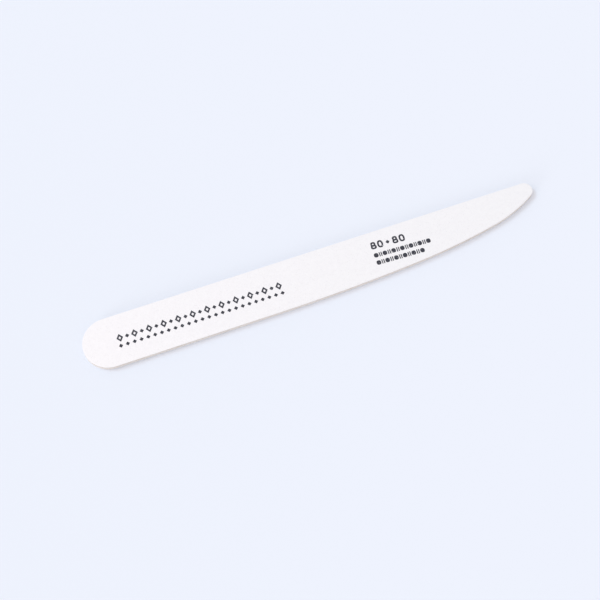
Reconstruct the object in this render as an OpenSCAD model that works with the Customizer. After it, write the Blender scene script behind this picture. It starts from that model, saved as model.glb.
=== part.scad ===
// Wooden nail file: a die-cut wood core with abrasive paper glued to both faces.
// It lies flat on Z = 0, centred on X and Y, with its length along X and the narrow tip at +X.
// The straight back faces +Y and the curved front faces -Y. Lengths are in millimetres.

/* [Outline] */
// Overall length, from the round heel to the narrow tip
file_length = 178; // [150:1:200]
// Width of the parallel part, which is the diameter of the round heel
file_width = 19.3; // [16:0.1:24]
// Radius of the gentle curve that starts the front edge's rise
front_radius = 740; // [640:10:840]
// Angle in degrees that the gentle curve turns through
front_sweep = 4.2; // [3.5:0.1:5]
// Radius of the middle curve that carries the rise on
middle_radius = 250; // [220:5:290]
// Angle in degrees that the middle curve turns through
middle_sweep = 7.6; // [6.5:0.1:8.5]
// Radius of the tight curve that carries the front edge up to the tip
nose_radius = 58; // [52:1:66]
// Radius of the rounded tip
tip_radius = 3.1; // [2:0.1:4.5]

/* [Layers] */
// Thickness of the wood core
core_thickness = 1.2; // [0.8:0.1:3]
// Thickness of each glue line
glue_thickness = 0.08; // [0.05:0.01:0.2]
// Distance that the glue stays back from the cut edge
glue_setback = 0.15; // [0.05:0.05:0.5]
// Thickness of each backing paper
paper_thickness = 0.2; // [0.1:0.01:0.4]
// Thickness of the resin that bonds the grains to the paper
bond_thickness = 0.06; // [0.03:0.01:0.12]
// Thickness of each coat of abrasive grains
grit_thickness = 0.16; // [0.08:0.01:0.3]

/* [Printed rows on the heel half] */
// Thickness of the ink film
ink_thickness = 0.03; // [0.01:0.01:0.1]
// Distance from the heel's end to the first mark of both rows
heel_rows_start = 12.5; // [10:0.5:16]
// Height of the large lozenges, across the file
ornament_height = 3.2; // [2:0.1:4]
// Width of the large lozenges, along the file
ornament_width = 2.5; // [1.5:0.1:3]
// Width of the line that draws a large lozenge
ornament_line = 0.6; // [0.4:0.05:0.75]
// Distance from one large lozenge to the next
ornament_pitch = 5.5; // [4.5:0.1:5.5]
// Number of large lozenges
ornament_count = 12; // [4:1:12]
// Distance of the large row's middle from the file's axis, towards the back
ornament_offset = 0.4; // [0:0.1:2]
// Height of the solid lozenges of the fine row
fine_height = 1.6; // [0.8:0.1:2]
// Width of the solid lozenges of the fine row
fine_width = 1.6; // [0.8:0.1:1.8]
// Clear distance between the two rows
row_gap = 0.7; // [0.4:0.1:1]

/* [Printed numbers and beads on the tip half] */
// Distance from the tip's end back to the start of the numbers and beads
tip_rows_setback = 66.4; // [60:0.2:70]
// Angle in degrees by which the numbers and beads lean from the file's axis
tip_rows_lean = -2.5; // [-4:0.5:0]
// Distance of the numbers' foot from the file's axis, towards the back
digit_foot = 2.6; // [1:0.1:3]
// Height of a digit
digit_height = 3; // [2.4:0.1:3.5]
// Width of a digit
digit_width = 2.2; // [1.8:0.1:2.4]
// Width of the line that draws a digit
digit_line = 0.65; // [0.4:0.05:0.75]
// Clear distance between the two digits of a number
digit_gap = 0.45; // [0.2:0.05:0.8]
// Clear distance between a number and the lozenge beside it
number_gap = 1; // [0.6:0.1:2]
// Length of a round bead, along its row
bead_length = 1.7; // [1:0.1:2]
// Height of the beads and of the two thin bars between them
bead_height = 1.8; // [1:0.1:2]
// Width of a thin bar
reel_width = 0.4; // [0.3:0.05:0.6]
// Clear distance between a bead and a thin bar, and between two bars
reel_gap = 0.3; // [0.2:0.05:0.4]
// Number of beads in the upper row
upper_bead_count = 7; // [3:1:7]
// Number of beads in the lower row
lower_bead_count = 6; // [2:1:6]
// Clear distance between the digits' foot and the upper beads
bead_drop = 1.7; // [1.2:0.1:2]
// Distance from the middle of the upper beads to the middle of the lower ones
bead_row_pitch = 3.1; // [2.4:0.1:3.3]

/* [Hidden] */

// Heights of the layers' lower faces, from the bottom up
bottom_bond_z = grit_thickness;
bottom_paper_z = bottom_bond_z + bond_thickness;
bottom_glue_z = bottom_paper_z + paper_thickness;
core_z = bottom_glue_z + glue_thickness;
top_glue_z = core_z + core_thickness;
top_paper_z = top_glue_z + glue_thickness;
top_bond_z = top_paper_z + paper_thickness;
top_grit_z = top_bond_z + bond_thickness;
print_z = top_grit_z + grit_thickness;

// The outline's corners and the centres of its curves
half_width = file_width / 2;
heel_x = half_width - file_length / 2;
tip_centre = [file_length / 2 - tip_radius, half_width - tip_radius];
// Direction in degrees of the front edge where the nose curve takes over
nose_heading = front_sweep + middle_sweep;
// Y of the curves' centres: each curve leaves the one before it along the same line
front_centre_y = front_radius - half_width;
middle_centre_y = front_centre_y - (front_radius - middle_radius) * cos(front_sweep);
nose_centre_y = middle_centre_y - (middle_radius - nose_radius) * cos(nose_heading);
// X of the same centres, worked back from the tip
nose_reach = sqrt(pow(nose_radius - tip_radius, 2) - pow(tip_centre.y - nose_centre_y, 2));
nose_centre = [tip_centre.x - nose_reach, nose_centre_y];
middle_centre_x = nose_centre.x - (middle_radius - nose_radius) * sin(nose_heading);
middle_centre = [middle_centre_x, middle_centre_y];
front_centre_x = middle_centre.x - (front_radius - middle_radius) * sin(front_sweep);
front_centre = [front_centre_x, front_centre_y];
// Where each curve starts
front_start_x = front_centre.x;
middle_start_x = middle_centre.x + middle_radius * sin(front_sweep);
nose_start_x = nose_centre.x + nose_radius * sin(nose_heading);
// Direction from the nose curve's centre through the tip's centre
nose_end = (tip_centre - nose_centre) / (nose_radius - tip_radius);
// Overrun of every cutting shape past what it cuts
cut_overrun = 2 * tip_radius;
// Facets of a long, shallow curve and of a small one
long_curve_facets = 720;
small_curve_facets = 96;

// The fine row takes the length of the large one
ornament_row_length = (ornament_count - 1) * ornament_pitch + ornament_width;
fine_count = 2 * ornament_count + 1;
fine_pitch = (ornament_row_length - fine_width) / (fine_count - 1);
fine_offset = ornament_offset - ornament_height / 2 - row_gap - fine_height / 2;
// Length of a bead with the two bars after it and the three gaps
bead_pitch = bead_length + 2 * reel_width + 3 * reel_gap;
number_length = 2 * digit_width + digit_gap;
// Corners of a digit's or bead's round outline, and the power that squares it up a little
round_corners = 28;
round_power = 0.8;
// The upper loop's share of an eight's width, and the lower loop's share of its height
eight_upper_width_share = 0.86;
eight_lower_height_share = 0.6;

function sign_power(value, power) = sign(value) * pow(abs(value), power);

// A rounded outline that fills the given width and height
function round_points(width, height) = [
    for (corner = [0 : round_corners - 1])
        let (angle = 360 * corner / round_corners)
        [
            width / 2 * sign_power(cos(angle), round_power),
            height / 2 * sign_power(sin(angle), round_power)
        ]
];

// The file's outline, drawn in by a margin all round. The pieces meet along full straight
// edges, so that the heel, the three curves of the front and the tip stay true arcs.
module file_outline(margin = 0) {
    back_y = half_width - margin;
    low_y = -half_width - cut_overrun;
    nose_limit = nose_centre + (nose_radius + cut_overrun) * nose_end;
    tip_limit = tip_centre + cut_overrun * nose_end;
    tip_low = [tip_centre.x + 2 * cut_overrun, tip_limit.y];
    tip_high = tip_centre + [2 * cut_overrun, cut_overrun];
    // Heel
    intersection() {
        translate([heel_x, 0]) circle(half_width - margin, $fn = small_curve_facets);
        translate([heel_x - file_width, -file_width]) square([file_width, 2 * file_width]);
    }
    // Parallel part
    translate([heel_x, -back_y]) square([front_start_x - heel_x, 2 * back_y]);
    // Gentle curve of the front
    intersection() {
        translate(front_centre) circle(front_radius - margin, $fn = long_curve_facets);
        translate([front_start_x, low_y]) square([middle_start_x - front_start_x, back_y - low_y]);
    }
    // Middle curve
    intersection() {
        translate(middle_centre) circle(middle_radius - margin, $fn = long_curve_facets);
        translate([middle_start_x, low_y]) square([nose_start_x - middle_start_x, back_y - low_y]);
    }
    // Tight curve up to the tip
    intersection() {
        translate(nose_centre) circle(nose_radius - margin, $fn = long_curve_facets);
        polygon([
            [nose_start_x, low_y], [nose_limit.x, low_y], nose_limit, tip_centre,
            [tip_centre.x, back_y], [nose_start_x, back_y]
        ]);
    }
    // Tip
    intersection() {
        translate(tip_centre) circle(tip_radius - margin, $fn = small_curve_facets);
        polygon([tip_centre, tip_limit, tip_low, tip_high, [tip_centre.x, tip_high.y]]);
    }
}

module layer(bottom_z, thickness, margin = 0) {
    translate([0, 0, bottom_z]) linear_extrude(thickness) file_outline(margin);
}

module lozenge(width, height) {
    polygon([[width / 2, 0], [0, height / 2], [-width / 2, 0], [0, -height / 2]]);
}

module lozenge_ring(width, height, line) {
    // The line's width is measured square to the lozenge's sides
    side = norm([width, height]) / 2;
    inner_share = 1 - 2 * line * side / (width * height / 2);
    difference() {
        lozenge(width, height);
        lozenge(width * inner_share, height * inner_share);
    }
}

module loop_ring(width, height) {
    difference() {
        polygon(round_points(width, height));
        polygon(round_points(width - 2 * digit_line, height - 2 * digit_line));
    }
}

module zero() {
    translate([digit_width / 2, digit_height / 2]) loop_ring(digit_width, digit_height);
}

module eight() {
    lower_height = digit_height * eight_lower_height_share;
    upper_height = digit_height - lower_height + digit_line;
    translate([digit_width / 2, lower_height / 2]) loop_ring(digit_width, lower_height);
    translate([digit_width / 2, digit_height - upper_height / 2])
        loop_ring(digit_width * eight_upper_width_share, upper_height);
}

module number() {
    eight();
    translate([digit_width + digit_gap, 0]) zero();
}

// Round beads with two thin bars between neighbours
module bead_row(count) {
    for (place = [0 : count - 1])
        translate([place * bead_pitch + bead_length / 2, 0])
            polygon(round_points(bead_length, bead_height));
    for (place = [0 : count - 2], bar = [0, 1])
        translate([
            place * bead_pitch + bead_length + reel_gap + bar * (reel_width + reel_gap),
            -bead_height / 2
        ])
            square([reel_width, bead_height]);
}

module on_heel_rows(offset) {
    translate([heel_rows_start - file_length / 2, offset, print_z])
        linear_extrude(ink_thickness) children();
}

module on_tip_rows() {
    translate([file_length / 2 - tip_rows_setback, digit_foot, print_z])
        rotate(tip_rows_lean) linear_extrude(ink_thickness) children();
}

module wood_core() {
    color("#e6dfd3") layer(core_z, core_thickness);
}

module top_glue_line() {
    color("#cfc7b4") layer(top_glue_z, glue_thickness, glue_setback);
}

module bottom_glue_line() {
    color("#cfc7b4") layer(bottom_glue_z, glue_thickness, glue_setback);
}

module top_backing_paper() {
    color("#efece6") layer(top_paper_z, paper_thickness);
}

module bottom_backing_paper() {
    color("#efece6") layer(bottom_paper_z, paper_thickness);
}

module top_bond_coat() {
    color("#dcd8d2") layer(top_bond_z, bond_thickness);
}

module bottom_bond_coat() {
    color("#dcd8d2") layer(bottom_bond_z, bond_thickness);
}

module top_grit_coat() {
    color("#f8f6f8") layer(top_grit_z, grit_thickness);
}

module bottom_grit_coat() {
    color("#f8f6f8") layer(0, grit_thickness);
}

// Open lozenges with a small solid one in each gap
module ornament_row() {
    color("#3a3d46") on_heel_rows(ornament_offset)
        for (place = [0 : ornament_count - 1]) {
            ornament_x = ornament_width / 2 + place * ornament_pitch;
            translate([ornament_x, 0])
                lozenge_ring(ornament_width, ornament_height, ornament_line);
            if (place < ornament_count - 1)
                translate([ornament_x + ornament_pitch / 2, 0]) lozenge(fine_width, fine_height);
        }
}

module fine_row() {
    color("#3a3d46") on_heel_rows(fine_offset)
        for (place = [0 : fine_count - 1])
            translate([fine_width / 2 + place * fine_pitch, 0]) lozenge(fine_width, fine_height);
}

// A plain number, a solid lozenge and the same number again
module printed_numbers() {
    lozenge_x = number_length + number_gap + fine_width / 2;
    color("#3a3d46") on_tip_rows() {
        number();
        translate([lozenge_x, digit_height / 2]) lozenge(fine_width, fine_height);
        translate([lozenge_x + fine_width / 2 + number_gap, 0]) number();
    }
}

module bead_rows() {
    upper_bead_y = -bead_drop - bead_height / 2;
    color("#3a3d46") on_tip_rows() {
        translate([0, upper_bead_y]) bead_row(upper_bead_count);
        translate([0, upper_bead_y - bead_row_pitch]) bead_row(lower_bead_count);
    }
}

wood_core();
top_glue_line();
bottom_glue_line();
top_backing_paper();
bottom_backing_paper();
top_bond_coat();
bottom_bond_coat();
top_grit_coat();
bottom_grit_coat();
ornament_row();
fine_row();
printed_numbers();
bead_rows();
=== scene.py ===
import math

import bpy
import numpy as np
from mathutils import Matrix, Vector
from mathutils.bvhtree import BVHTree


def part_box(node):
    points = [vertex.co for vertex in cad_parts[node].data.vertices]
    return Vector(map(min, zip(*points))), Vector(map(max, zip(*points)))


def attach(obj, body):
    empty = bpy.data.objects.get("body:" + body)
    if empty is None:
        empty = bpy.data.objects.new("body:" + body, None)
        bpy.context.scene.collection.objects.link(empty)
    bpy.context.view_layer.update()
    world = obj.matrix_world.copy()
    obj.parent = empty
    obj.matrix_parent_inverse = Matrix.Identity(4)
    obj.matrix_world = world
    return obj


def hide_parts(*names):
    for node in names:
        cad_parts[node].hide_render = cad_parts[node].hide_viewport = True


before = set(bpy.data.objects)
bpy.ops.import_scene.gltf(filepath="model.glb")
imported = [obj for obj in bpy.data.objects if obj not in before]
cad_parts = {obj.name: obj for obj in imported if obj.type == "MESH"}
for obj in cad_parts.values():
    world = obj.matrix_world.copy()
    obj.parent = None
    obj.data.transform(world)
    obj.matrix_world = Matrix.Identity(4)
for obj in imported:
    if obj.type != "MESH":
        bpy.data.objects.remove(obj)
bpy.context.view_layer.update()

# A wooden nail file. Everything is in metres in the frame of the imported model: the length
# runs along X to the narrow tip, the straight back faces +Y and the print faces +Z.

MM = 0.001

# Outline
core_low, core_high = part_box("wood_core")
HALF_LENGTH = (core_high.x - core_low.x) / 2
HALF_WIDTH = (core_high.y - core_low.y) / 2
FRONT_RADIUS = 740 * MM
FRONT_SWEEP = math.radians(4.2)
MIDDLE_RADIUS = 250 * MM
MIDDLE_SWEEP = math.radians(7.6)
NOSE_RADIUS = 58 * MM
TIP_RADIUS = 3.1 * MM
# Direction of the front edge where the nose curve takes over
NOSE_HEADING = FRONT_SWEEP + MIDDLE_SWEEP
# Centres of the round ends
HEEL_X = HALF_WIDTH - HALF_LENGTH
TIP_X = HALF_LENGTH - TIP_RADIUS
TIP_Y = HALF_WIDTH - TIP_RADIUS
# Centres of the front's three curves: each leaves the one before it along the same line
FRONT_Y = FRONT_RADIUS - HALF_WIDTH
MIDDLE_Y = FRONT_Y - (FRONT_RADIUS - MIDDLE_RADIUS) * math.cos(FRONT_SWEEP)
NOSE_Y = MIDDLE_Y - (MIDDLE_RADIUS - NOSE_RADIUS) * math.cos(NOSE_HEADING)
NOSE_X = TIP_X - math.sqrt((NOSE_RADIUS - TIP_RADIUS) ** 2 - (TIP_Y - NOSE_Y) ** 2)
MIDDLE_X = NOSE_X - (MIDDLE_RADIUS - NOSE_RADIUS) * math.sin(NOSE_HEADING)
FRONT_X = MIDDLE_X - (FRONT_RADIUS - MIDDLE_RADIUS) * math.sin(FRONT_SWEEP)
HEEL, TIP = (HEEL_X, 0), (TIP_X, TIP_Y)
FRONT, MIDDLE, NOSE = (FRONT_X, FRONT_Y), (MIDDLE_X, MIDDLE_Y), (NOSE_X, NOSE_Y)
# Where each curve starts
FRONT_START_X = FRONT_X
MIDDLE_START_X = MIDDLE_X + MIDDLE_RADIUS * math.sin(FRONT_SWEEP)
NOSE_START_X = NOSE_X + NOSE_RADIUS * math.sin(NOSE_HEADING)
# The nose curve ends this share of the tip's radius past the tip's centre
NOSE_END_SHARE = (TIP_X - NOSE_X) / (NOSE_RADIUS - TIP_RADIUS)

# Mesh steps along the file, and rows of vertices up the cut edge of each layer
COAT_STEP = 0.215 * MM
WOOD_STEP = 0.4 * MM
PAPER_STEP = 0.3 * MM
GLUE_STEP = 0.6 * MM
BOND_STEP = 0.4 * MM
WOOD_ROWS = 9
PAPER_ROWS = 4
FILM_ROWS = 2
# Step round the ends, and the angle between each end of the file and its nearest column
ARC_STEP = 0.2 * MM
END_ANGLE = 0.03
# Rows across the outer face, and how far from its edges the closest ones lie
SURFACE_ROWS = 86
EDGE_ROWS = (0.06 * MM, 0.13 * MM, 0.22 * MM)

# Cut edges: how far noise moves each layer, its pitch along X, Y and Z, and a setback
WOOD_STREAKS = 0.018 * MM
WOOD_STREAK_PITCH = (5 * MM, 0.14 * MM, 0.12 * MM)
WOOD_WAVES = 0.012 * MM
WOOD_WAVE_PITCH = (9 * MM, 1.5 * MM, 0.5 * MM)
WOOD_SETBACK = 0.02 * MM
PAPER_FUZZ = 0.014 * MM
PAPER_PITCH = (0.3 * MM, 0.3 * MM, 0.07 * MM)
GLUE_SPREAD = 0.06 * MM
GLUE_PITCH = (1.2 * MM, 1.2 * MM, 0.2 * MM)
GLUE_SETBACK = 0.15 * MM
BOND_SPREAD = 0.012 * MM
BOND_PITCH = (0.5 * MM, 0.5 * MM, 0.1 * MM)
BOND_SETBACK = 0.004 * MM

# Grains: their pitch and relief, and as shares of it their unequal heights, the fall from a
# grain's middle over one pitch and the spread of the tilts
GRAIN_PITCH = 0.2 * MM
GRAIN_DEPTH = 0.03 * MM
GRAIN_HEIGHT_SHARE = 0.6
GRAIN_FALL_SHARE = 0.5
GRAIN_TILT_SHARE = 0.35

# Rims of the coats: rolled over and chipped
ROLL_REACH = 0.16 * MM
TOP_ROLL = 0.05 * MM
BOTTOM_ROLL = 0.1 * MM
CHIP_PITCH = 0.35 * MM
TOP_CHIPS = 0.03 * MM
BOTTOM_CHIPS = 0.16 * MM
# Setback of an unchipped rim and mean setback halfway down the coat, as shares of the chips
RIM_SETBACK_SHARE = 0.65
MIDDLE_SETBACK_SHARE = 0.2

# Ink: the film's top over the grains, its underside in them, its ragged edge and pinholes
INK_STEP = 0.075 * MM
INK_BORDER = 2 * INK_STEP
INK_FILM = 0.02 * MM
INK_SINK = 0.006 * MM
INK_RAGGED = 0.02 * MM
INK_RAGGED_PITCH = 0.16 * MM
INK_HOLE_PITCH = 0.17 * MM
INK_HOLE_LEVEL = 0.8
INK_HOLE_SLOPE = 0.12 * MM
# Rays that find the grains under the ink start at this height
RAY_START_Z = 1
DOWN = Vector((0, 0, -1))

# Rows on the heel half: open lozenges, and small solid ones between and under them
ORNAMENT_WIDTH = 2.5 * MM
ORNAMENT_LINE = 0.6 * MM
ORNAMENT_PITCH = 5.5 * MM
ORNAMENT_COUNT = 12
FINE_WIDTH = 1.6 * MM
FINE_HEIGHT = 1.6 * MM

# Rows on the tip half: they lean, and are placed by the foot of the first digit
TIP_ROWS_SETBACK = 66.4 * MM
TIP_ROWS_LEAN = math.radians(-2.5)
DIGIT_FOOT = 2.6 * MM
DIGIT_WIDTH = 2.2 * MM
DIGIT_HEIGHT = 3 * MM
DIGIT_LINE = 0.65 * MM
DIGIT_GAP = 0.45 * MM
NUMBER_GAP = 1 * MM
EIGHT_UPPER_WIDTH_SHARE = 0.86
EIGHT_LOWER_HEIGHT_SHARE = 0.6
BEAD_LENGTH = 1.7 * MM
BEAD_HEIGHT = 1.8 * MM
BEAD_COUNTS = (7, 6)
BEAD_DROP = 1.7 * MM
BEAD_ROW_PITCH = 3.1 * MM
REEL_WIDTH = 0.4 * MM
REEL_GAP = 0.3 * MM
# Power of the round marks' outline, where 2 is a plain oval
ROUND_POWER = 2.5

# Seeds of the random fields, and the steps to the seeds of a coat's chips and ink's pinholes
WOOD_STREAK_SEED = 21
WOOD_WAVE_SEED = 22
PAPER_SEED = 31
GLUE_SEED = 41
BOND_SEED = 51
TOP_COAT_SEED = 61
BOTTOM_COAT_SEED = 71
ORNAMENT_SEED = 81
FINE_SEED = 82
NUMBER_SEED = 83
BEAD_SEED = 84
CHIP_SEED_STEP = 1
HOLE_SEED_STEP = 100

# Floor and light: the colour that floor and backdrop show, and levels, which are the light
# that falls on the floor, in red, green and blue
FLOOR_HALF = 4
BACKGROUND = (0.863, 0.896, 0.991)
FLOOR_LEVEL = Vector((0.99, 0.99, 0.99))
SKY_LEVEL = Vector((0.84, 0.79, 0.76))
LOW_LEVEL = Vector((0.032, 0.032, 0.032))
KEY_LEVEL = FLOOR_LEVEL - SKY_LEVEL - LOW_LEVEL
KEY_AZIMUTH = math.radians(143)
KEY_ELEVATION = math.radians(51)
KEY_ANGLE = math.radians(30)
LOW_AZIMUTH = math.radians(210)
LOW_ELEVATION = math.radians(10)
LOW_ANGLE = math.radians(16)
SIDE_LAMP = (-0.3, 0.03, 0.25)
SIDE_LAMP_RADIUS = 0.08
SIDE_LEVEL = (0.12, 0.085, 0.08)
SIDE_LEVEL_AT = (-0.089, 0, 0)
# The side lamp's light on the floor falls with this power of the distance
SIDE_FALL = 3

# Camera
CAMERA_ELEVATION = math.radians(65)
CAMERA_AZIMUTH = math.radians(-19.93)
CAMERA_DISTANCE = 0.5
CAMERA_TARGET = (-9.33 * MM, -7.56 * MM, 2.2 * MM)
# Focal length and sensor are in the camera's own millimetres
CAMERA_LENS = 82.53
CAMERA_SENSOR = 36
CAMERA_NEAREST = 0.01
CAMERA_FARTHEST = 50


def arc_y(x, centre, radius, side):
    """The Y of a circle, on its upper side for 1 and on its lower side for -1."""
    return centre[1] + side * np.sqrt(np.maximum(radius**2 - (x - centre[0]) ** 2, 0))


def back_edge(x, margin):
    """The Y of the straight back and of the round ends' upper halves."""
    heel = arc_y(x, HEEL, HALF_WIDTH - margin, 1)
    tip = arc_y(x, TIP, TIP_RADIUS - margin, 1)
    return np.where(x < HEEL_X, heel, np.where(x > TIP_X, tip, HALF_WIDTH - margin))


def front_edge(x, margin):
    """The Y of the front: heel, parallel part, three tightening curves, tip."""
    ends = (HEEL_X, FRONT_START_X, MIDDLE_START_X, NOSE_START_X)
    nose_end_x = TIP_X + (TIP_RADIUS - margin) * NOSE_END_SHARE
    edges = [
        arc_y(x, HEEL, HALF_WIDTH - margin, -1),
        np.full_like(x, margin - HALF_WIDTH),
        arc_y(x, FRONT, FRONT_RADIUS - margin, -1),
        arc_y(x, MIDDLE, MIDDLE_RADIUS - margin, -1),
        arc_y(x, NOSE, NOSE_RADIUS - margin, -1),
    ]
    tip = arc_y(x, TIP, TIP_RADIUS - margin, -1)
    return np.select([x < end for end in (*ends, nose_end_x)], edges, tip)


def columns(margin, step):
    """X of the mesh's columns, closer together where the round ends turn."""
    quarter = math.pi / 2
    heel_radius = HALF_WIDTH - margin
    tip_radius = TIP_RADIUS - margin
    heel_turns = np.linspace(END_ANGLE, quarter, int(heel_radius * quarter / ARC_STEP))
    tip_turns = np.linspace(0, quarter - END_ANGLE, int(tip_radius * quarter / ARC_STEP))
    heel = HEEL_X - heel_radius * np.cos(heel_turns)
    tip = TIP_X + tip_radius * np.sin(tip_turns)
    middle = np.linspace(HEEL_X, TIP_X, int((TIP_X - HEEL_X) / step))[1:-1]
    return np.concatenate([heel, middle, tip])


def outline_loop(margin, step):
    """The outline's points: heel's end, front, tip's end and back, and the columns' X."""
    x = columns(margin, step)
    heel_end = [(margin - HALF_LENGTH, 0)]
    tip_end = [(HALF_LENGTH - margin, TIP_Y)]
    front = np.stack([x, front_edge(x, margin)], 1)
    back = np.stack([x, back_edge(x, margin)], 1)[::-1]
    return np.concatenate([heel_end, front, tip_end, back]), x


def outward(loop):
    """The outward direction at each point of an outline."""
    along = np.roll(loop, -1, 0) - np.roll(loop, 1, 0)
    along /= np.linalg.norm(along, axis=1)[:, None]
    return np.stack([along[:, 1], -along[:, 0]], 1)


def circle_depth(x, y, centre, radius):
    return radius - np.hypot(x - centre[0], y - centre[1])


def inside_depth(x, y):
    """How far a point lies inside the outline."""
    front = circle_depth(x, y, FRONT, FRONT_RADIUS)
    middle = circle_depth(x, y, MIDDLE, MIDDLE_RADIUS)
    nose = circle_depth(x, y, NOSE, NOSE_RADIUS)
    starts = [x < FRONT_START_X, x < MIDDLE_START_X, x < NOSE_START_X]
    from_front = np.select(starts, [HALF_WIDTH + y, front, middle], nose)
    depth = np.minimum(HALF_WIDTH - y, from_front)
    depth = np.where(x < HEEL_X, circle_depth(x, y, HEEL, HALF_WIDTH), depth)
    tip = np.maximum(circle_depth(x, y, TIP, TIP_RADIUS), 0)
    return np.where(x > TIP_X, np.minimum(depth, tip), depth)


def field_noise(points, pitch, seed):
    """Smooth noise from -1 to 1 at 3-D points, with one pitch or one along each axis."""
    cell = points / np.array(pitch)
    base = np.floor(cell).astype(int)
    part = cell - base
    part = part * part * (3 - 2 * part)
    base -= base.min(0)
    values = np.random.default_rng(seed).uniform(-1, 1, base.max(0) + 2)
    total = np.zeros(len(points))
    for corner in np.ndindex(2, 2, 2):
        weight = np.prod(np.where(corner, part, 1 - part), axis=1)
        total += weight * values[tuple((base + corner).T)]
    return total


def flat_noise(x, y, pitch, seed):
    """Smooth noise from -1 to 1 on the flat, in the shape of x."""
    points = np.column_stack([x.ravel(), y.ravel(), np.zeros(x.size)])
    return field_noise(points, pitch, seed).reshape(x.shape)


def grain_relief(x, y, seed):
    """Depth below the highest grains, from 0 to 1: tilted facets of unequal grains."""
    column = np.floor(x / GRAIN_PITCH).astype(int)
    row = np.floor(y / GRAIN_PITCH).astype(int)
    local_x = x / GRAIN_PITCH - column
    local_y = y / GRAIN_PITCH - row
    # One more cell on each side holds the neighbours of the outermost grains
    column -= column.min() - 1
    row -= row.min() - 1
    shape = (column.max() + 2, row.max() + 2)
    rng = np.random.default_rng(seed)
    jitter_x, jitter_y, height = rng.uniform(0, 1, (3, *shape))
    tilt_x, tilt_y = rng.normal(0, GRAIN_TILT_SHARE, (2, *shape))
    nearest = np.full(x.shape, np.inf)
    depth = np.zeros(x.shape)
    for step_x in (-1, 0, 1):
        for step_y in (-1, 0, 1):
            cell = (column + step_x, row + step_y)
            away_x = local_x - step_x - jitter_x[cell]
            away_y = local_y - step_y - jitter_y[cell]
            distance = np.hypot(away_x, away_y)
            facet = height[cell] * GRAIN_HEIGHT_SHARE + distance * GRAIN_FALL_SHARE
            facet += away_x * tilt_x[cell] + away_y * tilt_y[cell]
            depth = np.where(distance < nearest, facet, depth)
            nearest = np.minimum(nearest, distance)
    return np.clip(depth, 0, 1)


def add_object(name, data):
    thing = bpy.data.objects.new(name, data)
    bpy.context.scene.collection.objects.link(thing)
    return thing


def add_piece(name, vertices, faces, node, material):
    """A mesh that rides with the file and stands for a node of the solids."""
    mesh = bpy.data.meshes.new(name)
    mesh.from_pydata(vertices.tolist(), [], faces)
    mesh.materials.append(material)
    mesh.validate()
    piece = add_object(name, mesh)
    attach(piece, "root")
    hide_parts(node)
    return piece


def at_height(points, z):
    """Flat points as points in space, with one height for all or a height for each."""
    return np.column_stack([points, np.broadcast_to(z, len(points))])


def band_faces(first, size):
    """Faces between a loop of vertices and the loop that follows it."""
    faces = []
    for k in range(size):
        after = (k + 1) % size
        faces.append((first + k, first + after, first + size + after, first + size + k))
    return faces


def cap_faces(first, count, up):
    """Faces that close a loop of vertices, across from the front edge to the back edge."""
    last = 2 * count + 2
    faces = [(0, 1, last - 1)]
    for i in range(1, count):
        faces.append((i, i + 1, last - i - 1, last - i))
    faces.append((count, count + 1, count + 2))
    faces = [tuple(first + v for v in face) for face in faces]
    return faces if up else [face[::-1] for face in faces]


def surface_faces(rim, surface, count, rows):
    """Faces of the outer surface: columns of rows that end on the rim at both edges."""
    last = 2 * count + 2

    def column(i):
        inner = [surface + (i - 1) * rows + j for j in range(rows)]
        return [rim + i] + inner + [rim + last - i]

    before = column(1)
    faces = [(rim, a, b) for a, b in zip(before, before[1:])]
    for i in range(2, count + 1):
        here = column(i)
        for j in range(len(here) - 1):
            faces.append((before[j], here[j], here[j + 1], before[j + 1]))
        before = here
    tip_end = rim + count + 1
    faces += [(a, tip_end, b) for a, b in zip(before, before[1:])]
    return faces


def slab(name, node, material, step, row_count, push, margin=0):
    """A flat layer between the heights of its solid, with a cut edge that noise moves."""
    low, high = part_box(node)
    loop, x = outline_loop(margin, step)
    size, normals = len(loop), outward(loop)
    rows, faces = [], []
    for z in np.linspace(low.z, high.z, row_count):
        moved = loop + normals * push(at_height(loop, z))[:, None]
        rows.append(at_height(moved, z))
    for row in range(row_count - 1):
        faces += band_faces(row * size, size)
    faces += cap_faces(0, len(x), up=False)
    faces += cap_faces((row_count - 1) * size, len(x), up=True)
    return add_piece(name, np.concatenate(rows), faces, node, material)


def row_shares():
    """Where the surface's rows lie across the file, closer together near both edges."""
    near = np.array(EDGE_ROWS) / (2 * HALF_WIDTH)
    middle = np.linspace(near[-1], 1 - near[-1], SURFACE_ROWS)[1:-1]
    return np.concatenate([near, middle, 1 - near[::-1]])


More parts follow.
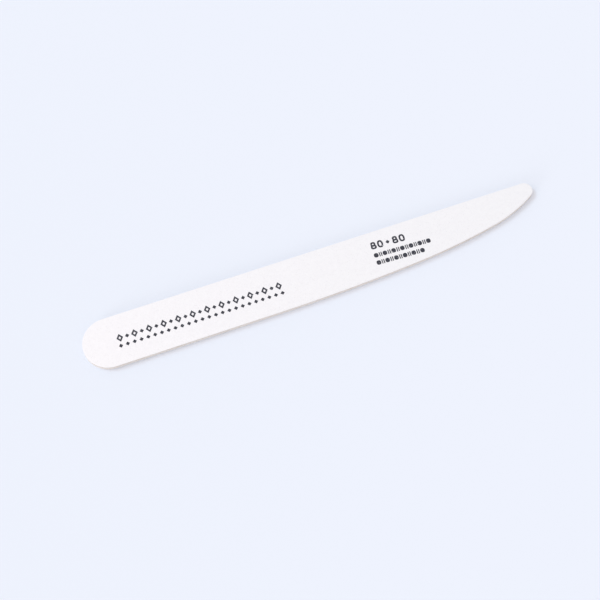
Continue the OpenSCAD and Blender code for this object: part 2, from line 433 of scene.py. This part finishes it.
def abrasive_coat(name, node, material, top, seed):
    """A coat of grains with its relief on the outer side and a chipped, rolled cut edge."""
    low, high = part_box(node)
    face_z, base_z = (high.z, low.z) if top else (low.z, high.z)
    up = 1 if top else -1
    roll_depth = TOP_ROLL if top else BOTTOM_ROLL
    chip_depth = TOP_CHIPS if top else BOTTOM_CHIPS
    loop, x = outline_loop(0, COAT_STEP)
    size, count, shares = len(loop), len(x), row_shares()
    inward = -outward(loop)
    chips = flat_noise(loop[:, 0], loop[:, 1], CHIP_PITCH, seed + CHIP_SEED_STEP)
    rim_setback = chip_depth * (RIM_SETBACK_SHARE + np.maximum(chips, 0))
    rim = loop + inward * rim_setback[:, None]
    middle_setback = chip_depth * MIDDLE_SETBACK_SHARE * (1 + chips)
    middle = loop + inward * middle_setback[:, None]
    front, back = front_edge(x, 0), back_edge(x, 0)
    surface = np.column_stack([
        np.repeat(x, len(shares)),
        (front[:, None] + (back - front)[:, None] * shares).ravel(),
    ])
    # The relief is read over the whole outer face at once, rim included
    outer = np.concatenate([rim, surface])
    roll = roll_depth * np.exp(-inside_depth(outer[:, 0], outer[:, 1]) / ROLL_REACH)
    relief = GRAIN_DEPTH * grain_relief(outer[:, 0], outer[:, 1], seed)
    vertices = np.concatenate([
        at_height(loop, base_z),
        at_height(middle, (base_z + face_z) / 2),
        at_height(outer, face_z - up * (relief + roll)),
    ])
    faces = band_faces(0, size) + band_faces(size, size)
    faces += cap_faces(0, count, up=False)
    faces += surface_faces(2 * size, 3 * size, count, len(shares))
    if not top:
        faces = [face[::-1] for face in faces]
    return add_piece(name, vertices, faces, node, material)


# Materials

# A ramp's colour that leaves what it multiplies as it is
UNCHANGED = (1, 1, 1)
# The wave texture draws 20 / (2 pi) rings to a unit at a scale of 1
RING_SCALE = 2 * math.pi / 20


class Look:
    """A node material under construction, with its texture coordinates in metres."""

    def __init__(self, name, **sockets):
        self.material = bpy.data.materials.new(name)
        self.material.use_nodes = True
        self.nodes = self.material.node_tree.nodes
        self.links = self.material.node_tree.links
        self.shader = self.nodes["Principled BSDF"]
        self.place = self.nodes.new("ShaderNodeTexCoord").outputs["Object"]
        for socket, value in sockets.items():
            self.shader.inputs[socket.replace("_", " ")].default_value = value

    def stretched(self, share, shift=(0, 0, 0)):
        """Coordinates reduced to a share along X, which draws a pattern out that way."""
        mapping = self.nodes.new("ShaderNodeMapping")
        mapping.inputs["Scale"].default_value = (share, 1, 1)
        mapping.inputs["Location"].default_value = shift
        self.links.new(self.place, mapping.inputs["Vector"])
        return mapping.outputs["Vector"]

    def noise(self, size, detail=2, place=None):
        node = self.nodes.new("ShaderNodeTexNoise")
        node.inputs["Scale"].default_value = 1 / size
        node.inputs["Detail"].default_value = detail
        self.links.new(place or self.place, node.inputs["Vector"])
        return node.outputs["Fac"]

    def cells(self, size, output):
        node = self.nodes.new("ShaderNodeTexVoronoi")
        node.inputs["Scale"].default_value = 1 / size
        self.links.new(self.place, node.inputs["Vector"])
        return node.outputs[output]

    def growth_rings(self, place, pitch, wander, wander_scale):
        """Rings around the X axis, rising from 0 to 1 across each year's growth."""
        node = self.nodes.new("ShaderNodeTexWave")
        node.wave_type = "RINGS"
        node.rings_direction = "X"
        node.wave_profile = "SAW"
        node.inputs["Scale"].default_value = RING_SCALE / pitch
        node.inputs["Distortion"].default_value = wander
        node.inputs["Detail Scale"].default_value = wander_scale
        self.links.new(place, node.inputs["Vector"])
        return node.outputs["Fac"]

    def ramp(self, value, *stops):
        """Colours for a value: each stop is a position from 0 to 1 and its colour."""
        node = self.nodes.new("ShaderNodeValToRGB")
        elements = node.color_ramp.elements
        while len(elements) < len(stops):
            elements.new(1)
        for element, (position, colour) in zip(elements, stops):
            element.position = position
            element.color = (*colour, 1)
        self.links.new(value, node.inputs["Fac"])
        return node.outputs["Color"]

    def span(self, value, low, high):
        node = self.nodes.new("ShaderNodeMapRange")
        node.inputs["To Min"].default_value = low
        node.inputs["To Max"].default_value = high
        self.links.new(value, node.inputs["Value"])
        return node.outputs["Result"]

    def multiplied(self, first, second):
        node = self.nodes.new("ShaderNodeMix")
        node.data_type = "RGBA"
        node.blend_type = "MULTIPLY"
        node.inputs["Factor"].default_value = 1
        self.links.new(first, node.inputs["A"])
        self.links.new(second, node.inputs["B"])
        return node.outputs["Result"]

    def calculated(self, kind, operation, output, *values):
        """The output of a maths node, fed with other outputs and plain values."""
        node = self.nodes.new(kind)
        node.operation = operation
        for socket, value in zip(node.inputs, values):
            if isinstance(value, bpy.types.NodeSocket):
                self.links.new(value, socket)
            else:
                socket.default_value = value
        return node.outputs[output]

    def set(self, socket, value):
        self.links.new(value, self.shader.inputs[socket])

    def bump(self, value, strength, height):
        """Adds a bump on top of those that are there."""
        node = self.nodes.new("ShaderNodeBump")
        node.inputs["Strength"].default_value = strength
        node.inputs["Distance"].default_value = height
        self.links.new(value, node.inputs["Height"])
        earlier = self.shader.inputs["Normal"]
        if earlier.is_linked:
            self.links.new(earlier.links[0].from_socket, node.inputs["Normal"])
        self.links.new(node.outputs["Normal"], earlier)


def abrasive_material():
    """White grains with a faint broad mottle, a few of them greyer than the rest."""
    look = Look("white_abrasive", Specular_IOR_Level=0.3, Sheen_Weight=0.05)
    broad = look.noise(size=1.6 * MM, detail=4)
    mottle = look.ramp(broad, (0.3, (0.878, 0.877, 0.909)), (0.7, (0.898, 0.898, 0.928)))
    each = look.cells(size=0.17 * MM, output="Color")
    grains = look.ramp(each, (0.0, (0.8, 0.79, 0.8)), (0.2, UNCHANGED))
    look.set("Base Color", look.multiplied(mottle, grains))
    look.set("Roughness", look.span(look.noise(size=0.4 * MM), low=0.62, high=0.85))
    facets = look.cells(size=0.16 * MM, output="Distance")
    look.bump(facets, strength=0.35, height=0.02 * MM)
    look.bump(look.noise(size=0.05 * MM, detail=3), strength=0.25, height=0.01 * MM)
    return look.material


def paper_material():
    """White backing paper with short fibres along the file."""
    look = Look("backing_paper", Specular_IOR_Level=0.25)
    fibres = look.noise(size=0.12 * MM, detail=4, place=look.stretched(0.25))
    tone = look.ramp(fibres, (0.3, (0.81, 0.8, 0.79)), (0.7, (0.9, 0.89, 0.89)))
    look.set("Base Color", tone)
    look.set("Roughness", look.span(look.noise(size=0.2 * MM), low=0.8, high=0.95))
    look.bump(fibres, strength=0.4, height=0.02 * MM)
    return look.material


def bond_material():
    """Pale resin with a soft gloss."""
    look = Look("resin_bond", Specular_IOR_Level=0.5)
    cloud = look.noise(size=0.6 * MM)
    tone = look.ramp(cloud, (0.3, (0.74, 0.72, 0.7)), (0.7, (0.82, 0.81, 0.79)))
    look.set("Base Color", tone)
    look.set("Roughness", look.span(cloud, low=0.35, high=0.55))
    return look.material


def glue_material():
    """Yellowed glue, darker than the layers that it joins."""
    look = Look("glue_line", Specular_IOR_Level=0.5)
    cloud = look.noise(size=0.8 * MM, detail=3)
    tone = look.ramp(cloud, (0.3, (0.56, 0.52, 0.45)), (0.7, (0.68, 0.65, 0.58)))
    look.set("Base Color", tone)
    look.set("Roughness", look.span(cloud, low=0.3, high=0.5))
    return look.material


def wood_material():
    """Pale basswood: long fibres, faint growth rings and short dark pore lines."""
    look = Look("basswood", Specular_IOR_Level=0.3)
    fibres = look.noise(size=0.1 * MM, detail=4, place=look.stretched(0.016))
    bands = look.noise(size=0.6 * MM, place=look.stretched(0.01))
    pores = look.noise(size=0.08 * MM, detail=1, place=look.stretched(0.045))
    from_pith = look.stretched(0.02, shift=(0, 9 * MM, 17 * MM))
    rings = look.growth_rings(from_pith, pitch=1.7 * MM, wander=2.5, wander_scale=0.4)
    tone = look.ramp(fibres, (0.32, (0.724, 0.69, 0.652)), (0.62, (0.862, 0.84, 0.832)))
    broad = look.ramp(bands, (0.35, (0.94, 0.92, 0.9)), (0.65, UNCHANGED))
    late_wood = look.ramp(
        rings, (0.5, UNCHANGED), (0.93, (0.86, 0.82, 0.77)), (1.0, (0.97, 0.96, 0.95))
    )
    dark_pores = look.ramp(pores, (0.29, (0.66, 0.6, 0.54)), (0.37, UNCHANGED))
    for layer in (broad, late_wood, dark_pores):
        tone = look.multiplied(tone, layer)
    look.set("Base Color", tone)
    look.set("Roughness", look.span(fibres, low=0.6, high=0.8))
    look.bump(fibres, strength=0.4, height=0.02 * MM)
    look.bump(pores, strength=0.3, height=0.02 * MM)
    return look.material


def ink_material():
    """Blue-black printing ink, a little uneven."""
    look = Look("dark_ink", Specular_IOR_Level=0.35)
    cloud = look.noise(size=0.25 * MM, detail=3)
    tone = look.ramp(cloud, (0.3, (0.022, 0.023, 0.033)), (0.75, (0.056, 0.058, 0.074)))
    look.set("Base Color", tone)
    look.set("Roughness", look.span(look.noise(size=0.1 * MM), low=0.5, high=0.75))
    look.bump(look.noise(size=0.08 * MM, detail=3), strength=0.3, height=0.01 * MM)
    return look.material


# Layers


def wood_push(points):
    """Raised fibres and slow waves of the cut wood."""
    streaks = field_noise(points, WOOD_STREAK_PITCH, WOOD_STREAK_SEED)
    waves = field_noise(points, WOOD_WAVE_PITCH, WOOD_WAVE_SEED)
    return WOOD_STREAKS * streaks + WOOD_WAVES * waves - WOOD_SETBACK


def paper_push(points):
    return PAPER_FUZZ * field_noise(points, PAPER_PITCH, PAPER_SEED)


def glue_push(points):
    return GLUE_SPREAD * field_noise(points, GLUE_PITCH, GLUE_SEED)


def bond_push(points):
    return BOND_SPREAD * field_noise(points, BOND_PITCH, BOND_SEED) - BOND_SETBACK


def make_layers():
    """The core with glue, paper, resin and grains on both sides. Returns the top grains."""
    wood, glue, paper, bond = wood_material(), glue_material(), paper_material(), bond_material()
    abrasive = abrasive_material()
    slab("wood_core_strip", "wood_core", wood, WOOD_STEP, WOOD_ROWS, wood_push)
    for side in ("top", "bottom"):
        slab(
            f"{side}_glue_film", f"{side}_glue_line", glue,
            GLUE_STEP, FILM_ROWS, glue_push, GLUE_SETBACK,
        )
        slab(
            f"{side}_paper_sheet", f"{side}_backing_paper", paper,
            PAPER_STEP, PAPER_ROWS, paper_push,
        )
        slab(
            f"{side}_resin_coat", f"{side}_bond_coat", bond,
            BOND_STEP, FILM_ROWS, bond_push,
        )
    coat = abrasive_coat(
        "top_grain_coat", "top_grit_coat", abrasive, top=True, seed=TOP_COAT_SEED
    )
    abrasive_coat(
        "bottom_grain_coat", "bottom_grit_coat", abrasive, top=False, seed=BOTTOM_COAT_SEED
    )
    return coat


# Print


def lozenge(x, y, width, height):
    """Distance outside a lozenge, less than 0 inside."""
    half_width, half_height = width / 2, height / 2
    reach = np.abs(x) / half_width + np.abs(y) / half_height - 1
    return reach * half_width * half_height / math.hypot(half_width, half_height)


def round_shape(x, y, width, height):
    """Distance outside an oval that is squared up a little, less than 0 inside."""
    reach = (2 * np.abs(x) / width) ** ROUND_POWER + (2 * np.abs(y) / height) ** ROUND_POWER
    return (reach ** (1 / ROUND_POWER) - 1) * min(width, height) / 2


def round_ring(x, y, width, height, line):
    inner = round_shape(x, y, width - 2 * line, height - 2 * line)
    return np.maximum(round_shape(x, y, width, height), -inner)


def nearest_in_row(x, first, pitch, count):
    """X from the nearest of a row's evenly spaced marks."""
    place = np.clip(np.round((x - first) / pitch), 0, count - 1)
    return x - first - place * pitch


def ornament_distance(x, y):
    """Open lozenges with a small solid one in each gap."""
    low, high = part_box("ornament_row")
    y = y - (low.y + high.y) / 2
    first = low.x + ORNAMENT_WIDTH / 2
    place = nearest_in_row(x, first, ORNAMENT_PITCH, ORNAMENT_COUNT)
    outer = lozenge(place, y, ORNAMENT_WIDTH, high.y - low.y)
    ring = np.abs(outer + ORNAMENT_LINE / 2) - ORNAMENT_LINE / 2
    gap = nearest_in_row(x, first + ORNAMENT_PITCH / 2, ORNAMENT_PITCH, ORNAMENT_COUNT - 1)
    return np.minimum(ring, lozenge(gap, y, FINE_WIDTH, FINE_HEIGHT))


def fine_distance(x, y):
    """A row of small solid lozenges, two to each open one above and one more."""
    low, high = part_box("fine_row")
    count = 2 * ORNAMENT_COUNT + 1
    pitch = (high.x - low.x - FINE_WIDTH) / (count - 1)
    place = nearest_in_row(x, low.x + FINE_WIDTH / 2, pitch, count)
    return lozenge(place, y - (low.y + high.y) / 2, FINE_WIDTH, FINE_HEIGHT)


def on_tip_rows(x, y):
    """Coordinates along and across the leaning rows, from the digits' foot."""
    along = x - HALF_LENGTH + TIP_ROWS_SETBACK
    across = y - DIGIT_FOOT
    return (
        along * math.cos(TIP_ROWS_LEAN) + across * math.sin(TIP_ROWS_LEAN),
        across * math.cos(TIP_ROWS_LEAN) - along * math.sin(TIP_ROWS_LEAN),
    )


def zero(u, v):
    u, v = u - DIGIT_WIDTH / 2, v - DIGIT_HEIGHT / 2
    return round_ring(u, v, DIGIT_WIDTH, DIGIT_HEIGHT, DIGIT_LINE)


def eight(u, v):
    lower = DIGIT_HEIGHT * EIGHT_LOWER_HEIGHT_SHARE
    upper = DIGIT_HEIGHT - lower + DIGIT_LINE
    upper_width = DIGIT_WIDTH * EIGHT_UPPER_WIDTH_SHARE
    u = u - DIGIT_WIDTH / 2
    return np.minimum(
        round_ring(u, v - lower / 2, DIGIT_WIDTH, lower, DIGIT_LINE),
        round_ring(u, v - DIGIT_HEIGHT + upper / 2, upper_width, upper, DIGIT_LINE),
    )


def number_distance(x, y):
    """A plain number, a solid lozenge and the same number again."""
    u, v = on_tip_rows(x, y)
    step = DIGIT_WIDTH + DIGIT_GAP
    lozenge_u = step + DIGIT_WIDTH + NUMBER_GAP + FINE_WIDTH / 2
    second = lozenge_u + FINE_WIDTH / 2 + NUMBER_GAP
    return np.minimum.reduce([
        eight(u, v),
        zero(u - step, v),
        lozenge(u - lozenge_u, v - DIGIT_HEIGHT / 2, FINE_WIDTH, FINE_HEIGHT),
        eight(u - second, v),
        zero(u - second - step, v),
    ])


def bead_distance(x, y):
    """Two rows of round beads with two thin bars between neighbours."""
    u, v = on_tip_rows(x, y)
    pitch = BEAD_LENGTH + 2 * REEL_WIDTH + 3 * REEL_GAP
    nearest = np.full(x.shape, np.inf)
    for row, count in enumerate(BEAD_COUNTS):
        from_middle = v + BEAD_DROP + BEAD_HEIGHT / 2 + row * BEAD_ROW_PITCH
        place = nearest_in_row(u, BEAD_LENGTH / 2, pitch, count)
        bead = round_shape(place, from_middle, BEAD_LENGTH, BEAD_HEIGHT)
        nearest = np.minimum(nearest, bead)
        for bar in (0, 1):
            first = BEAD_LENGTH + REEL_GAP + REEL_WIDTH / 2 + bar * (REEL_WIDTH + REEL_GAP)
            place = nearest_in_row(u, first, pitch, count - 1)
            past_side = np.abs(place) - REEL_WIDTH / 2
            past_end = np.abs(from_middle) - BEAD_HEIGHT / 2
            nearest = np.minimum(nearest, np.maximum(past_side, past_end))
    return nearest


def ink_cells(distance, xs, ys):
    """Cuts a grid of distances at 0: the points and faces inside, and the edge pairs."""
    ids, points, faces, rim = {}, [], [], []
    inside = distance < 0
    touched = inside[:-1, :-1] | inside[1:, :-1] | inside[:-1, 1:] | inside[1:, 1:]

    def point(key, x, y):
        if key not in ids:
            ids[key] = len(points)
            points.append((x, y))
        return ids[key]

    for row, column in np.argwhere(touched):
        corners = [(row, column), (row, column + 1), (row + 1, column + 1), (row + 1, column)]
        face, crossings = [], []
        for here, after in zip(corners, corners[1:] + corners[:1]):
            x, y = xs[here[1]], ys[here[0]]
            if inside[here]:
                face.append(point(here, x, y))
            if inside[here] != inside[after]:
                share = distance[here] / (distance[here] - distance[after])
                x += (xs[after[1]] - x) * share
                y += (ys[after[0]] - y) * share
                crossing = point((min(here, after), max(here, after)), x, y)
                crossings.append((inside[here], crossing))
                face.append(crossing)
        faces.append(tuple(face))
        for (leaving, a), (_, b) in zip(crossings, crossings[1:] + crossings[:1]):
            if leaving:
                rim.append((a, b))
    return np.array(points), faces, rim


def ink_piece(name, node, material, coat_tree, distance_at, seed):
    """A thin film of ink that follows the grains under it."""
    low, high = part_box(node)
    xs = np.arange(low.x - INK_BORDER, high.x + INK_BORDER, INK_STEP)
    ys = np.arange(low.y - INK_BORDER, high.y + INK_BORDER, INK_STEP)
    grid_x, grid_y = np.meshgrid(xs, ys)
    ragged = flat_noise(grid_x, grid_y, INK_RAGGED_PITCH, seed)
    holes = flat_noise(grid_x, grid_y, INK_HOLE_PITCH, seed + HOLE_SEED_STEP)
    distance = distance_at(grid_x, grid_y) + INK_RAGGED * ragged
    distance = np.maximum(distance, (holes - INK_HOLE_LEVEL) * INK_HOLE_SLOPE)
    points, faces, rim = ink_cells(distance, xs, ys)
    ground = np.array([
        coat_tree.ray_cast(Vector((x, y, RAY_START_Z)), DOWN)[0].z for x, y in points
    ])
    top = at_height(points, ground + INK_FILM)
    bottom = at_height(points, ground - INK_SINK)
    count = len(points)
    shell = list(faces)
    shell += [tuple(v + count for v in reversed(face)) for face in faces]
    shell += [(b, a, a + count, b + count) for a, b in rim]
    return add_piece(name, np.concatenate([top, bottom]), shell, node, material)


def make_print(coat):
    ink = ink_material()
    tree = BVHTree.FromObject(coat, bpy.context.evaluated_depsgraph_get())
    ink_piece("ink_ornament_row", "ornament_row", ink, tree, ornament_distance, ORNAMENT_SEED)
    ink_piece("ink_fine_row", "fine_row", ink, tree, fine_distance, FINE_SEED)
    ink_piece("ink_numbers", "printed_numbers", ink, tree, number_distance, NUMBER_SEED)
    ink_piece("ink_bead_rows", "bead_rows", ink, tree, bead_distance, BEAD_SEED)


# Stage, light and camera


def side_strength():
    """The side lamp's light on the floor, before it falls with the distance."""
    distance = (Vector(SIDE_LAMP) - Vector(SIDE_LEVEL_AT)).length
    return Vector(SIDE_LEVEL) * distance**SIDE_FALL


def make_floor():
    """A plain floor whose colour evens out the side lamp's light."""
    signs = ((-1, -1), (1, -1), (1, 1), (-1, 1))
    mesh = bpy.data.meshes.new("floor")
    mesh.from_pydata([(x * FLOOR_HALF, y * FLOOR_HALF, 0) for x, y in signs], [], [(0, 1, 2, 3)])
    look = Look("pale_floor", Specular_IOR_Level=0, Roughness=1)
    vector_kind = "ShaderNodeVectorMath"
    away = look.calculated(vector_kind, "DISTANCE", "Value", look.place, SIDE_LAMP)
    fall = look.calculated("ShaderNodeMath", "POWER", "Value", away, -SIDE_FALL)
    light = look.calculated(vector_kind, "MULTIPLY", "Vector", side_strength(), fall)
    level = look.calculated(vector_kind, "ADD", "Vector", light, FLOOR_LEVEL)
    colour = look.calculated(vector_kind, "DIVIDE", "Vector", BACKGROUND, level)
    look.set("Base Color", colour)
    mesh.materials.append(look.material)
    floor = add_object("floor", mesh)


def make_sky():
    """Even light all round, behind which the camera and reflections see the background."""
    world = bpy.data.worlds.new("studio")
    bpy.context.scene.world = world
    world.use_nodes = True
    nodes, links = world.node_tree.nodes, world.node_tree.links
    nodes.clear()
    path = nodes.new("ShaderNodeLightPath")
    seen_by = path.outputs["Is Camera Ray"]
    for ray in ("Is Glossy Ray", "Is Transmission Ray"):
        either = nodes.new("ShaderNodeMath")
        either.operation = "MAXIMUM"
        links.new(seen_by, either.inputs[0])
        links.new(path.outputs[ray], either.inputs[1])
        seen_by = either.outputs[0]
    light = nodes.new("ShaderNodeBackground")
    light.inputs["Color"].default_value = (*SKY_LEVEL, 1)
    backdrop = nodes.new("ShaderNodeBackground")
    backdrop.inputs["Color"].default_value = (*BACKGROUND, 1)
    mix = nodes.new("ShaderNodeMixShader")
    output = nodes.new("ShaderNodeOutputWorld")
    links.new(seen_by, mix.inputs["Fac"])
    links.new(light.outputs[0], mix.inputs[1])
    links.new(backdrop.outputs[0], mix.inputs[2])
    links.new(mix.outputs[0], output.inputs["Surface"])


def add_lamp(name, kind, power):
    light = bpy.data.lights.new(name, kind)
    light.energy = max(power)
    light.color = power / max(power)
    lamp = add_object(name, light)
    lamp.visible_camera = False
    return lamp


def add_far_lamp(name, level, azimuth, elevation, angle):
    """A soft lamp so far away that it lights the whole floor alike."""
    lamp = add_lamp(name, "SUN", level * math.pi / math.sin(elevation))
    lamp.data.angle = angle
    flat = math.cos(elevation)
    towards = Vector((math.cos(azimuth) * flat, math.sin(azimuth) * flat, math.sin(elevation)))
    lamp.rotation_mode = "QUATERNION"
    lamp.rotation_quaternion = towards.to_track_quat("Z", "Y")


def make_lamps():
    add_far_lamp("key", KEY_LEVEL, KEY_AZIMUTH, KEY_ELEVATION, KEY_ANGLE)
    add_far_lamp("low", LOW_LEVEL, LOW_AZIMUTH, LOW_ELEVATION, LOW_ANGLE)
    # A ball's light on a flat floor is its power times its height, over the distance cubed
    side = add_lamp("side", "POINT", 4 * math.pi**2 * side_strength() / SIDE_LAMP[2])
    side.data.shadow_soft_size = SIDE_LAMP_RADIUS
    side.location = SIDE_LAMP


def make_camera():
    camera = bpy.data.cameras.new("camera")
    camera.lens = CAMERA_LENS
    camera.sensor_width = CAMERA_SENSOR
    camera.clip_start = CAMERA_NEAREST
    camera.clip_end = CAMERA_FARTHEST
    flat = math.cos(CAMERA_ELEVATION)
    back = Vector((
        math.sin(CAMERA_AZIMUTH) * flat,
        -math.cos(CAMERA_AZIMUTH) * flat,
        math.sin(CAMERA_ELEVATION),
    ))
    holder = add_object("camera", camera)
    holder.location = Vector(CAMERA_TARGET) + back * CAMERA_DISTANCE
    holder.rotation_mode = "QUATERNION"
    holder.rotation_quaternion = back.to_track_quat("Z", "Y")
    bpy.context.scene.camera = holder


make_camera()
make_floor()
make_sky()
make_lamps()
make_print(make_layers())
bpy.context.scene.view_settings.view_transform = "Standard"
